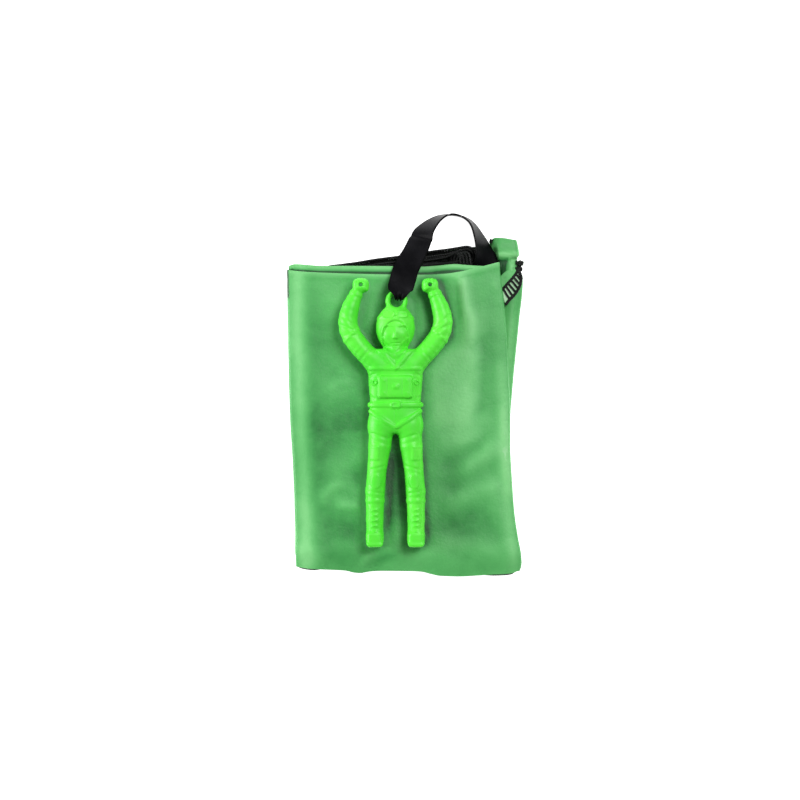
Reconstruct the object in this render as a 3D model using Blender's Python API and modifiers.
"""Toy parachute, folded for storage, with its moulded parachutist.

The cloth canopy is folded to a flat pack that lies on its back. Its mouth is at +Y, where the
stowed suspension lines lie in a flat hank. A doubled satin ribbon runs from the lines, out of
the mouth, in an arch beyond the pack and back to the eyelet on the helmet of the figure, which
lies on the front leaf of the pack with its feet towards -Y.

Metres, +Z up. The origin is the middle of the object's box, on the surface it lies on.
"""
import math

import bmesh
import bpy
from mathutils import Matrix, Vector

MM = 0.001

# ---------------------------------------------------------------- driving dimensions (mm)
PACK_W = 84.2            # width of the folded pack
PACK_L = 112.5           # length of the folded pack, mouth to bottom fold
BACK_T = 3.7             # thickness of the back stack of leaves
PACK_T = 9.5             # thickness of the whole pack
MOUTH_CEIL = 8.6         # underside of the front leaf at the mouth
MOUTH_DEPTH = 10.5       # depth of the mouth pocket

LINE_D = 0.8             # suspension line diameter
HANK_L = 57.0            # stowed hank of lines
HANK_W = 7.5
HANK_T = 2.9
HANK_Z = 4.7
HANK_TILT = 7.4          # degrees, the hank's right end stands out of the mouth

RIBBON_W = 9.3           # satin ribbon
RIBBON_T = 0.9           # both layers of the doubled ribbon

FIG_X = -3.6             # the figure's line of symmetry
FIG_Z = 9.8              # its back, on the front leaf
FIG_MID = 14.0           # its parting plane
EYE_Y = 33.6             # centre of the eyelet
EYE_HOLE_R = 2.3
EYE_RING_R = 3.1
EYE_WIRE_R = 0.85

HINGE_Y = 45.0           # the ribbon folds here, just inside the mouth
HINGE_Z = 10.95
CENTRE_Y = -0.43         # shift that puts the origin in the middle of the box

# ---------------------------------------------------------------- fresh start
for o in list(bpy.data.objects):
    bpy.data.objects.remove(o, do_unlink=True)


def collection(name):
    c = bpy.data.collections.get(name) or bpy.data.collections.new(name)
    if c.name not in bpy.context.scene.collection.children:
        bpy.context.scene.collection.children.link(c)
    return c


PARTS = collection("toy_parachute")
TOOLS = collection("cutters")


def material(name, rgb, rough, metal=0.0):
    m = bpy.data.materials.new(name)
    m.use_nodes = True
    b = m.node_tree.nodes["Principled BSDF"]
    b.inputs["Base Color"].default_value = (*rgb, 1.0)
    b.inputs["Roughness"].default_value = rough
    b.inputs["Metallic"].default_value = metal
    m.diffuse_color = (*rgb, 1.0)
    return m


CLOTH = (0.090, 0.440, 0.130)
BLACK = (0.010, 0.010, 0.011)
NEON = (0.110, 0.830, 0.045)


# ---------------------------------------------------------------- helpers
def put(name, mesh, where=PARTS):
    ob = bpy.data.objects.new(name, mesh)
    where.objects.link(ob)
    return ob


def from_bm(name, bm, where=PARTS):
    bmesh.ops.recalc_face_normals(bm, faces=bm.faces)
    me = bpy.data.meshes.new(name)
    bm.to_mesh(me)
    bm.free()
    return put(name, me, where)


def solid_of(ob, weld=0.00001):
    """The object as its modifiers leave it, as a plain welded mesh object."""
    bpy.context.view_layer.update()
    dg = bpy.context.evaluated_depsgraph_get()
    me = bpy.data.meshes.new_from_object(ob.evaluated_get(dg))
    name, mw, colls = ob.name, ob.matrix_world.copy(), list(ob.users_collection)
    bpy.data.objects.remove(ob, do_unlink=True)
    bm = bmesh.new()
    bm.from_mesh(me)
    bmesh.ops.transform(bm, matrix=mw, verts=bm.verts)
    bmesh.ops.remove_doubles(bm, verts=bm.verts, dist=weld)
    bm.to_mesh(me)
    bm.free()
    return put(name, me, colls[0])


def boolean(ob, others, operation, solver="EXACT"):
    """ob joined with, or cut by, the others, which are used up."""
    for other in others:
        mod = ob.modifiers.new(operation, "BOOLEAN")
        mod.operation = operation
        mod.solver = solver
        mod.object = other
        ob = solid_of(ob)
        bpy.data.objects.remove(other, do_unlink=True)
    return ob


def smooth_line(points, n):
    """n points on a smooth curve through the given ones, evenly spaced along it."""
    pts = [Vector(p) for p in points]
    ext = [pts[0] * 2 - pts[1]] + pts + [pts[-1] * 2 - pts[-2]]
    fine = []
    for i in range(1, len(ext) - 2):
        p0, p1, p2, p3 = ext[i - 1 : i + 3]
        for k in range(24):
            t = k / 24
            fine.append(0.5 * ((2 * p1) + (p2 - p0) * t + (2 * p0 - 5 * p1 + 4 * p2 - p3) * t * t
                               + (3 * p1 - p0 - 3 * p2 + p3) * t ** 3))
    fine.append(pts[-1])
    run = [0.0]
    for a, b in zip(fine, fine[1:]):
        run.append(run[-1] + (b - a).length)
    out, j = [], 0
    for i in range(n):
        s = run[-1] * i / (n - 1)
        while j < len(run) - 2 and run[j + 1] < s:
            j += 1
        f = 0 if run[j + 1] == run[j] else (s - run[j]) / (run[j + 1] - run[j])
        out.append(fine[j].lerp(fine[j + 1], min(1, max(0, f))))
    return out


def tube(name, points, radii, sides=3, flat=1.0, where=PARTS):
    """A round bar through the points (mm) with a radius (mm) at each, capped at both ends."""
    cu = bpy.data.curves.new(name, "CURVE")
    cu.dimensions = "3D"
    cu.bevel_depth = MM
    cu.bevel_resolution = sides
    cu.use_fill_caps = True
    sp = cu.splines.new("POLY")
    sp.points.add(len(points) - 1)
    for p, co, r in zip(sp.points, points, radii):
        p.co = (co[0] * MM, co[1] * MM, co[2] * MM, 1)
        p.radius = r
    ob = bpy.data.objects.new(name, cu)
    where.objects.link(ob)
    return solid_of(ob)


def ball(name, centre, radii, seg=16, rings=10, where=PARTS):
    bm = bmesh.new()
    bmesh.ops.create_uvsphere(bm, u_segments=seg, v_segments=rings, radius=1.0)
    bmesh.ops.transform(
        bm,
        matrix=Matrix.Translation(Vector(centre) * MM)
        @ Matrix.Diagonal((radii[0] * MM, radii[1] * MM, radii[2] * MM, 1)),
        verts=bm.verts,
    )
    return from_bm(name, bm, where)


def block(name, low, high, bevel=0.0, seg=2, turn=0.0, where=PARTS):
    """A box from its two corners (mm), with rounded edges, turned about its own middle."""
    bm = bmesh.new()
    bmesh.ops.create_cube(bm, size=1.0)
    size = Vector(high) - Vector(low)
    mid = (Vector(high) + Vector(low)) / 2
    bmesh.ops.transform(bm, matrix=Matrix.Diagonal((*(size * MM), 1)), verts=bm.verts)
    if bevel:
        bmesh.ops.bevel(bm, geom=list(bm.edges), offset=bevel * MM, segments=seg, profile=0.5,
                        affect="EDGES")
    bmesh.ops.transform(
        bm, matrix=Matrix.Translation(mid * MM) @ Matrix.Rotation(math.radians(turn), 4, "Z"),
        verts=bm.verts)
    return from_bm(name, bm, where)


def rounded(corners):
    """A closed outline (mm) with each (x, y, r) corner rounded by its own radius."""
    out = []
    m = len(corners)
    for i in range(m):
        p = Vector(corners[i][:2])
        a = (Vector(corners[i - 1][:2]) - p)
        b = (Vector(corners[(i + 1) % m][:2]) - p)
        half = a.angle(b) / 2
        if math.degrees(half) > 84:
            out.append(p)
            continue
        cut = min(corners[i][2] / math.tan(half), 0.45 * a.length, 0.45 * b.length)
        r = cut * math.tan(half)
        a.normalize()
        b.normalize()
        centre = p + (a + b).normalized() * (r / math.sin(half))
        s, e = p + a * cut - centre, p + b * cut - centre
        turn = s.angle_signed(e)
        n = max(1, round(abs(math.degrees(turn)) / 18))
        for k in range(n + 1):
            out.append(centre + Matrix.Rotation(-turn * k / n, 2) @ s)
    return out


def leaf(name, outline, z0, z1, edge, res=3, where=PARTS):
    """A flat soft slab with this outline, from z0 to z1 (mm), its rim rounded by edge."""
    m = len(outline)
    mitre = []
    for i, p in enumerate(outline):
        u = (p - outline[i - 1]).normalized()
        v = (outline[(i + 1) % m] - p).normalized()
        nu, nv = Vector((u.y, -u.x)), Vector((v.y, -v.x))
        mitre.append((nu + nv) / max(0.35, 1 + nu.dot(nv)))
    area = sum(outline[i - 1].x * outline[i].y - outline[i].x * outline[i - 1].y for i in range(m))
    inward = -1 if area > 0 else 1
    levels = []
    for k in range(res + 1):
        a = math.pi / 2 * k / res
        levels.append((edge * (1 - math.sin(a)), z0 + edge * (1 - math.cos(a))))
    levels += [(d, z0 + z1 - z) for d, z in reversed(levels)]
    bm = bmesh.new()
    rings = [[bm.verts.new((*((p + n * inward * d) * MM), z * MM)) for p, n in zip(outline, mitre)]
             for d, z in levels]
    for r0, r1 in zip(rings, rings[1:]):
        for k in range(m):
            bm.faces.new((r0[k], r0[(k + 1) % m], r1[(k + 1) % m], r1[k]))
    bm.faces.new(rings[0])
    bm.faces.new(rings[-1])
    return from_bm(name, bm, where)


def sweep(name, stations, where=PARTS):
    """A strip of rectangular section. Each station is (centre, width vector, thickness vector),
    both vectors being half of the section, in mm."""
    bm = bmesh.new()
    rings = []
    for c, w, t in stations:
        rings.append([bm.verts.new((c + a * w + b * t) * MM)
                      for a, b in ((-1, -1), (1, -1), (1, 1), (-1, 1))])
    for r0, r1 in zip(rings, rings[1:]):
        for k in range(4):
            bm.faces.new((r0[k], r0[(k + 1) % 4], r1[(k + 1) % 4], r1[k]))
    bm.faces.new(reversed(rings[0]))
    bm.faces.new(rings[-1])
    return from_bm(name, bm, where)


def finish(ob, mat, smooth=True):
    ob.data.materials.clear()
    ob.data.materials.append(mat)
    if smooth:
        ob.data.shade_smooth()
        ob.data.set_sharp_from_angle(angle=math.radians(40))
    return ob


# ---------------------------------------------------------------- canopy, folded
# Corners of the leaves, x, y and rounding radius. The front leaf is a little narrower at the
# mouth than at the bottom fold, and the back stack looks out from under it at the right.
FRONT = [(-42.1, 46.9, 2.0), (-8.0, 47.2, 40), (33.2, 47.4, 2.0), (35.4, 23.4, 60), (36.2, 5.5, 60),
         (36.8, -6.0, 60), (36.9, -18.0, 60), (37.5, -30.0, 60), (38.4, -42.0, 60), (39.7, -51.0, 60),
         (40.9, -57.0, 60), (41.2, -63.4, 4), (26.7, -64.4, 30),
         (-2.0, -62.9, 40), (-31.0, -65.0, 20), (-39.0, -63.4, 3), (-40.0, -30.0, 80),
         (-41.4, 5.5, 80)]
BACK = [(-41.0, 46.2, 1.8), (-33.0, 46.6, 6), (25.5, 53.2, 2.5), (32.0, 56.4, 2.5),
        (38.6, 55.8, 2.5), (39.6, 47.5, 2), (41.5, 43.0, 2), (42.1, 38.0, 6), (40.3, 28.5, 60),
        (39.1, 16.6, 60), (38.1, 5.5, 60), (37.3, -6.3, 60), (37.0, -18.0, 60), (37.5, -30.0, 60),
        (38.4, -42.0, 60), (39.7, -51.0, 60), (40.9, -57.0, 60), (41.6, -64.6, 4), (26.7, -65.3, 30),
        (-2.0, -64.0, 40), (-31.0, -65.3, 20), (-38.6, -64.2, 3), (-39.6, -30.0, 80),
        (-41.0, 5.5, 80)]
SIDE = [(24.0, 45.0, 2), (39.0, 46.0, 2), (41.0, 42.6, 2), (41.7, 38.0, 6), (40.1, 28.5, 60),
        (38.9, 16.6, 60), (37.9, 5.5, 60), (37.2, -6.3, 60), (36.8, -20.0, 3), (24.0, -20.0, 3)]
ROLL = [(33.3, 56.0, 2.2), (38.6, 55.5, 2.2), (39.8, 44.3, 2.2), (33.5, 44.2, 2.2)]

canopy = leaf("canopy", rounded(BACK), 0.0, BACK_T, 1.2)
front = leaf("front_leaf", rounded(FRONT), BACK_T - 1.45, PACK_T, 1.6, 3)
side = leaf("side_leaf", rounded(SIDE), BACK_T - 1.5, 7.2, 0.9)
roll = leaf("rolled_edge", rounded(ROLL), BACK_T - 1.55, 8.2, 1.4)
canopy = boolean(canopy, [front, side, roll], "UNION")
# the mouth: a pocket between the back stack and the front leaf, where the lines lie
mouth = block("mouth_cut", (-36.5, 47.0 - MOUTH_DEPTH, BACK_T), (30.4, 62.0, MOUTH_CEIL),
              where=TOOLS)
mouth_r = block("mouth_right_cut", (30.0, 47.0 - MOUTH_DEPTH + 0.4, BACK_T + 0.005),
                (34.2, 47.8, MOUTH_CEIL - 0.02), where=TOOLS)
# a passage under the rolled edge, from the canopy's corner to the mouth, for the four lines
CORNER = Vector((40.2, 46.6))
HANK_END = Vector((25.4, 51.3))
lead_dir = (CORNER - HANK_END).normalized()
lead_turn = math.degrees(math.atan2(lead_dir.y, lead_dir.x))
mid = (CORNER + HANK_END) / 2 + lead_dir * 1.5
passage = block("passage_cut", (mid.x - 9.5, mid.y - 2.4, BACK_T + 0.02),
                (mid.x + 9.5, mid.y + 2.4, BACK_T + 1.6), turn=lead_turn, where=TOOLS)
notch = block("corner_cut", (36.9, 43.9, BACK_T + 0.01), (46.0, 49.4, 12.0), turn=0.0, where=TOOLS)
canopy = boolean(canopy, [mouth, mouth_r, passage, notch], "DIFFERENCE")
finish(canopy, material("canopy_satin", CLOTH, 0.42))

# ---------------------------------------------------------------- overlock thread
# Thread over the cloth's cut edge, which comes out at the corner and runs to the lower left.
lock = sweep("overlock_thread", [
    (Vector((36.1, 35.2, 7.75)), Vector((0.7, -2.5, 0)), Vector((0, 0, 0.25))),
    (Vector((38.6, 38.2, 7.75)), Vector((1.2, -2.6, 0)), Vector((0, 0, 0.25))),
    (Vector((40.7, 40.6, 7.75)), Vector((0.0, -3.0, 0)), Vector((0, 0, 0.25)))])
finish(lock, material("overlock_black", BLACK, 0.6))

# ---------------------------------------------------------------- stowed suspension lines
line_mat = material("line_black", BLACK, 0.55)
hank_dir = Vector((math.cos(math.radians(HANK_TILT)), math.sin(math.radians(HANK_TILT)), 0))
hank_side = Vector((-hank_dir.y, hank_dir.x, 0))
hank_mid = Vector((25.2, 51.3, 0)) - hank_dir * (HANK_L / 2)


def on_hank(along, across, z):
    """A point at this place along and across the hank (mm, from its middle)."""
    p = hank_mid + hank_dir * along + hank_side * across
    return Vector((p.x, p.y, z))


ends = []
for side_sign in (1, -1):
    for k in range(9):
        a = math.radians(-90 + 180 * k / 8)
        ends.append((side_sign * ((HANK_L - HANK_W) / 2 + HANK_W / 2 * math.cos(a)),
                     side_sign * HANK_W / 2 * math.sin(a)))
hank_pts = [on_hank(x, y, 0) for x, y in ends]
hank = leaf("line_hank", [p.xy for p in hank_pts], HANK_Z, HANK_Z + HANK_T, 0.7)
finish(hank, line_mat)

# tie: a flat elastic band round the hank
tie_at, tie_w = 4.2, 2.0
gap, band = 0.32, 0.40
tie_out = block("line_tie", (-tie_w / 2, -HANK_W / 2 - gap - band, HANK_Z - gap - band + 0.02),
                (tie_w / 2, HANK_W / 2 + gap + band, HANK_Z + HANK_T + gap + band), 0.0)
tie_in = block("tie_cut", (-tie_w, -HANK_W / 2 - gap, HANK_Z - gap),
               (tie_w, HANK_W / 2 + gap, HANK_Z + HANK_T + gap), 0.0, where=TOOLS)
tie = boolean(tie_out, [tie_in], "DIFFERENCE")
at = on_hank(tie_at, 0, 0) * MM
tie.data.transform(Matrix.Translation(at) @ Matrix.Rotation(math.radians(HANK_TILT), 4, "Z"))
finish(tie, material("tie_black", (0.015, 0.015, 0.016), 0.7))

# four leads from the canopy's corners through the passage, and four corner knots
spread = [(-0.56, 4.16), (0.56, 4.16), (-1.7, 4.16), (1.7, 4.16)]
knot_at = [(-1.15, 4.98), (1.15, 4.98), (-1.15, 7.2), (1.15, 7.2)]
side_dir = Vector((-lead_dir.y, lead_dir.x))
for i, ((off, z), (koff, kz)) in enumerate(zip(spread, knot_at), 1):
    k = CORNER + lead_dir * 0.75 + side_dir * koff
    knot = ball(f"corner_knot_{i}", (k.x, k.y, kz), (0.95, 0.95, 0.95), 12, 8)
    finish(knot, line_mat)
    reach = (CORNER - HANK_END).length
    route = []
    for along in (0.75, 3.4, 6.0, 8.6, 11.0, 12.6, 13.4, 14.0, reach - 0.65):
        f = min(1.0, max(0.0, (along - 12.6) / (reach - 0.65 - 12.6)))
        f = f * f * (3 - 2 * f)
        p = HANK_END + lead_dir * along + side_dir * (off + (koff * 0.9 - off) * f)
        route.append((p.x, p.y, z + (kz - z) * f))
    lead = tube(f"line_lead_{i}", route, [LINE_D / 2] * len(route), 2)
    finish(lead, line_mat)

# four tails from the hank to the gather knot, under the front leaf
KNOT = Vector((27.6, 38.9, 5.6))
for i in range(4):
    off = (i - 1.5) * 1.35
    a = on_hank(HANK_L / 2 - 4.6 + off, -HANK_W / 2 - 0.78, 5.6)
    b = Vector((KNOT.x - 1.0 + off * 0.92, KNOT.y + 2.5, 4.3))
    route = []
    for k in range(9):
        u = k / 8
        f = u * u * (3 - 2 * u)
        route.append((a.x + (b.x - a.x) * (0.35 * u + 0.65 * f), a.y + (b.y - a.y) * u,
                      a.z + (b.z - a.z) * min(1.0, 1.9 * f)))
    tail = tube(f"line_tail_{i + 1}", route, [LINE_D / 2] * len(route), 2)
    finish(tail, line_mat)
finish(ball("gather_knot", KNOT, (2.3, 1.7, 1.5), 14, 9), line_mat)

# ---------------------------------------------------------------- riser ribbon
# Each station: x and y of the middle (mm), its height, and how far the strip leans over, from
# 0 lying flat to 90 standing on its edge, with its outer edge down.
ARCH = [(-1.98, 45.3, 10.45, 0), (-1.98, 46.3, 10.45, 0), (-1.25, 48.3, 10.45, 4), (0.9, 50.8, 10.2, 12),
        (3.3, 53.7, 9.4, 22), (5.2, 56.5, 8.5, 33), (6.9, 59.1, 7.6, 47), (8.8, 61.5, 6.8, 62),
        (11.6, 63.7, 5.9, 75), (14.0, 64.65, 5.35, 83), (17.0, 65.15, 5.15, 88),
        (20.2, 64.6, 5.15, 85), (22.9, 62.9, 5.35, 81), (24.6, 60.7, 5.65, 77),
        (25.9, 57.4, 6.5, 66), (27.0, 53.5, 7.6, 48), (27.9, 50.3, 7.6, 22),
        (28.3, 47.4, 6.25, 12), (28.5, 44.2, 6.0, 6), (28.5, 41.5, 5.9, 0)]


def ribbon_stations(table, n, half_w):
    line = smooth_line([(x, y, z) for x, y, z, _ in table], n)
    lean = smooth_line([(i, a, 0) for i, (_, _, _, a) in enumerate(table)], 400)
    run, total = [0.0], 0.0
    for p, q in zip(table, table[1:]):
        total += (Vector(q[:3]) - Vector(p[:3])).length
        run.append(total)
    out = []
    for k, c in enumerate(line):
        s = total * k / (n - 1)
        j = max(i for i in range(len(run)) if run[i] <= s + 1e-9)
        f = 0 if j == len(run) - 1 else (s - run[j]) / (run[j + 1] - run[j])
        phi = min(lean, key=lambda v: abs(v.x - (j + f))).y
        a, b = line[max(0, k - 1)], line[min(n - 1, k + 1)]
        t = (b - a).normalized()
        flat = Vector((-t.y, t.x, 0)).normalized()
        w = flat * math.cos(math.radians(phi)) - Vector((0, 0, 1)) * math.sin(math.radians(phi))
        w = (w - t * w.dot(t)).normalized()
        out.append((c, w * half_w, t.cross(w).normalized() * (RIBBON_T / 2)))
    return out


ribbon_mat = material("ribbon_black", BLACK, 0.35)
ribbon = sweep("riser_ribbon", ribbon_stations(ARCH, 46, RIBBON_W / 2))
finish(ribbon, ribbon_mat)

# the ribbon's end loop: side view outline, in y and z, round the front bar of the eyelet
def offset_loop(points, d):
    out = []
    m = len(points)
    for i, p in enumerate(points):
        a = Vector(points[i - 1])
        b = Vector(points[(i + 1) % m])
        t = (b - a).normalized()
        out.append((p[0] + t.y * d, p[1] - t.x * d))
    return out


bar_y = EYE_Y + EYE_RING_R
LOOP = [(Vector(p)) for p in smooth_line([
    (41.4, 12.9, 0), (38.6, 15.0, 0), (36.4, 16.05, 0), (34.3, 15.9, 0), (33.2, 14.6, 0),
    (33.1, 13.4, 0), (33.5, 12.0, 0), (35.0, 11.3, 0), (37.2, 11.25, 0), (39.6, 11.3, 0)], 26)]
inner = offset_loop([(p.x, p.y) for p in LOOP], -0.22)
outer_l = offset_loop([(p.x, p.y) for p in LOOP], 0.22)


def loop_prism(name, outline, half):
    bm = bmesh.new()
    sides = []
    for sx in (-1, 1):
        ring = []
        for y, z in outline:
            f = min(1.0, max(0.0, (y - 34.2) / 6.3))
            f = f * f * (3 - 2 * f)
            ring.append(bm.verts.new(((FIG_X + 0.7 + (y - 34.2) * 0.07 + sx * (1.35 + (half - 1.35) * f)) * MM,
                                      y * MM, z * MM)))
        sides.append(ring)
    m = len(outline)
    for k in range(m - 1):
        bm.faces.new((sides[0][k], sides[0][k + 1], sides[1][k + 1], sides[1][k]))
    return bm, sides


# a thin band round the bar, then the flat doubled strip up to the fold
band_bm, band_sides = loop_prism("riser_ribbon_end", [(p.x, p.y) for p in LOOP], RIBBON_W / 2)
band_me = bpy.data.meshes.new("riser_ribbon_end")
band_bm.to_mesh(band_me)
band_bm.free()
end = put("riser_ribbon_end", band_me)
thick = end.modifiers.new("cloth", "SOLIDIFY")
thick.thickness = 0.42 * MM
thick.offset = 0
end = solid_of(end)
strip = sweep("strip", [
    (Vector((-1.98, 44.9, 10.42)), Vector((RIBBON_W / 2, 0, 0)), Vector((0, 0, RIBBON_T / 2))),
    (Vector((-2.05, 43.2, 10.8)), Vector((RIBBON_W / 2, 0, 0)), Vector((0, 0.05, RIBBON_T / 2))),
    (Vector((-2.2, 41.0, 12.0)), Vector((RIBBON_W / 2 - 0.05, 0, 0)), Vector((0, 0.15, 1.1))),
    (Vector((-2.3, 38.9, 13.0)), Vector((RIBBON_W / 2 - 0.9, 0, 0)), Vector((0, 0.1, 1.9)))])
end = boolean(end, [strip], "UNION")
finish(end, ribbon_mat)

# bar tack on the sewn end of the ribbon, inside the mouth
tack = block("riser_bartack", (25.3, 42.0, 6.65), (31.7, 43.6, 7.0), 0.12, 1)
finish(tack, material("tack_black", BLACK, 0.6))

# ---------------------------------------------------------------- figure
# One moulding. Left side x values are mirrored about FIG_X.
def both(name, make):
    return [make(f"{name}_l", -1), make(f"{name}_r", 1)]


def limb(name, pts, radii, n=9):
    route = smooth_line([(x, y, z) for x, y, z in pts], n)
    rr = smooth_line([(i, r, 0) for i, r in enumerate(radii)], n)
    return tube(name, route, [v.y for v in rr], 3)


torso_rows = [  # y, half width, half depth
    (17.4, 4.2, 3.0), (15.2, 8.2, 3.6), (10.5, 9.5, 4.1), (4.0, 9.3, 4.1), (-2.3, 8.7, 3.7),
    (-7.0, 9.1, 3.9), (-11.5, 9.2, 3.8), (-14.0, 7.6, 3.2)]
bm = bmesh.new()
rings = []
for y, hw, hd in torso_rows:
    ring = []
    for k in range(20):
        a = 2 * math.pi * k / 20
        ca, sa = math.cos(a), math.sin(a)
        ring.append(bm.verts.new(((FIG_X + hw * math.copysign(abs(ca) ** 0.7, ca)) * MM, y * MM,
                                  (FIG_MID - 0.1 + hd * math.copysign(abs(sa) ** 0.8, sa)) * MM)))
    rings.append(ring)
for r0, r1 in zip(rings, rings[1:]):
    for k in range(20):
        bm.faces.new((r0[k], r0[(k + 1) % 20], r1[(k + 1) % 20], r1[k]))
bm.faces.new(rings[0])
bm.faces.new(reversed(rings[-1]))
figure = from_bm("figure", bm)

pieces = []
pieces.append(ball("helmet", (FIG_X, 24.2, FIG_MID + 0.1), (6.8, 8.2, 4.25), 20, 14))
pieces.append(tube("neck", [(FIG_X, 19.5, FIG_MID - 0.4), (FIG_X, 14.0, FIG_MID - 0.4)],
                   [3.3, 3.6], 3))
for s in (-1, 1):
    X = lambda v: FIG_X + s * v
    pieces.append(limb(f"arm_{s}", [(X(6.4), 12.0, FIG_MID), (X(11.4), 16.8, FIG_MID),
                                    (X(16.3), 22.2, FIG_MID), (X(16.9), 26.6, FIG_MID),
                                    (X(15.6), 32.0, FIG_MID), (X(13.4), 37.0, FIG_MID)],
                       [3.3, 3.35, 3.2, 3.15, 2.8, 2.1], 13))
    pieces.append(ball(f"fist_{s}", (X(12.5), 39.1, FIG_MID), (3.0, 3.2, 2.7), 14, 10))
    pieces.append(limb(f"leg_{s}", [(X(4.9), -10.0, FIG_MID - 0.1), (X(5.4), -18.0, FIG_MID - 0.1),
                                    (X(6.2), -26.0, FIG_MID - 0.2), (X(6.9), -35.0, FIG_MID - 0.3),
                                    (X(7.3), -45.0, FIG_MID - 0.3), (X(7.35), -52.0, FIG_MID - 0.3)],
                       [4.1, 3.85, 3.45, 3.2, 3.0, 2.9], 13))
    pieces.append(block(f"boot_{s}", (X(7.35) - 3.05, -54.0, 9.9), (X(7.35) + 3.05, -49.6, 17.3),
                        1.1, 2))
pieces.append(block("chest_pack", (FIG_X - 6.1, -0.9, FIG_MID), (FIG_X + 6.1, 7.0, FIG_MID + 5.0),
                    0.7, 2))
pieces.append(block("belt", (FIG_X - 9.15, -4.2, FIG_MID - 3.6), (FIG_X + 9.15, -2.4, FIG_MID + 3.95),
                    0.5, 1))
figure = boolean(figure, pieces, "UNION")
# eyelet on the crown
bm = bmesh.new()
NR, NS = 22, 8
grid = []
for i in range(NR):
    a = 2 * math.pi * i / NR
    row = []
    for k in range(NS):
        b = 2 * math.pi * (k + 0.5) / NS
        rr = EYE_RING_R + EYE_WIRE_R * math.cos(b)
        row.append(bm.verts.new(((FIG_X + 0.4 + rr * math.cos(a)) * MM, (EYE_Y + rr * math.sin(a)) * MM,
                                 (FIG_MID + 1.45 * math.sin(b)) * MM)))
    grid.append(row)
for i in range(NR):
    for k in range(NS):
        bm.faces.new((grid[i][k], grid[(i + 1) % NR][k], grid[(i + 1) % NR][(k + 1) % NS],
                      grid[i][(k + 1) % NS]))
eyelet = from_bm("eyelet", bm)
figure = boolean(figure, [eyelet], "UNION")
# a string hole through each fist
holes = []
for s in (-1, 1):
    holes.append(tube(f"fist_hole_{s}", [(FIG_X + s * 12.3, 39.3, FIG_MID - 5),
                                         (FIG_X + s * 12.3, 39.3, FIG_MID + 5)], [0.75, 0.75], 2,
                      where=TOOLS))
figure = boolean(figure, holes, "DIFFERENCE")
finish(figure, material("figure_neon", NEON, 0.32))

# the origin goes to the middle of the box, and each moving piece gets its own on its joint's axis
PIVOT = {"riser_ribbon_end": (-2.0, HINGE_Y + 0.1, HINGE_Z), "figure": (FIG_X + 0.4, EYE_Y, FIG_MID)}
for ob in PARTS.objects:
    pivot = Vector(PIVOT.get(ob.name, (0, -CENTRE_Y, 0))) * MM
    ob.data.transform(Matrix.Translation(-pivot))
    ob.location = pivot + Vector((0, CENTRE_Y, 0)) * MM

for ob in TOOLS.objects:
    ob.hide_render = True
    ob.display_type = "WIRE"
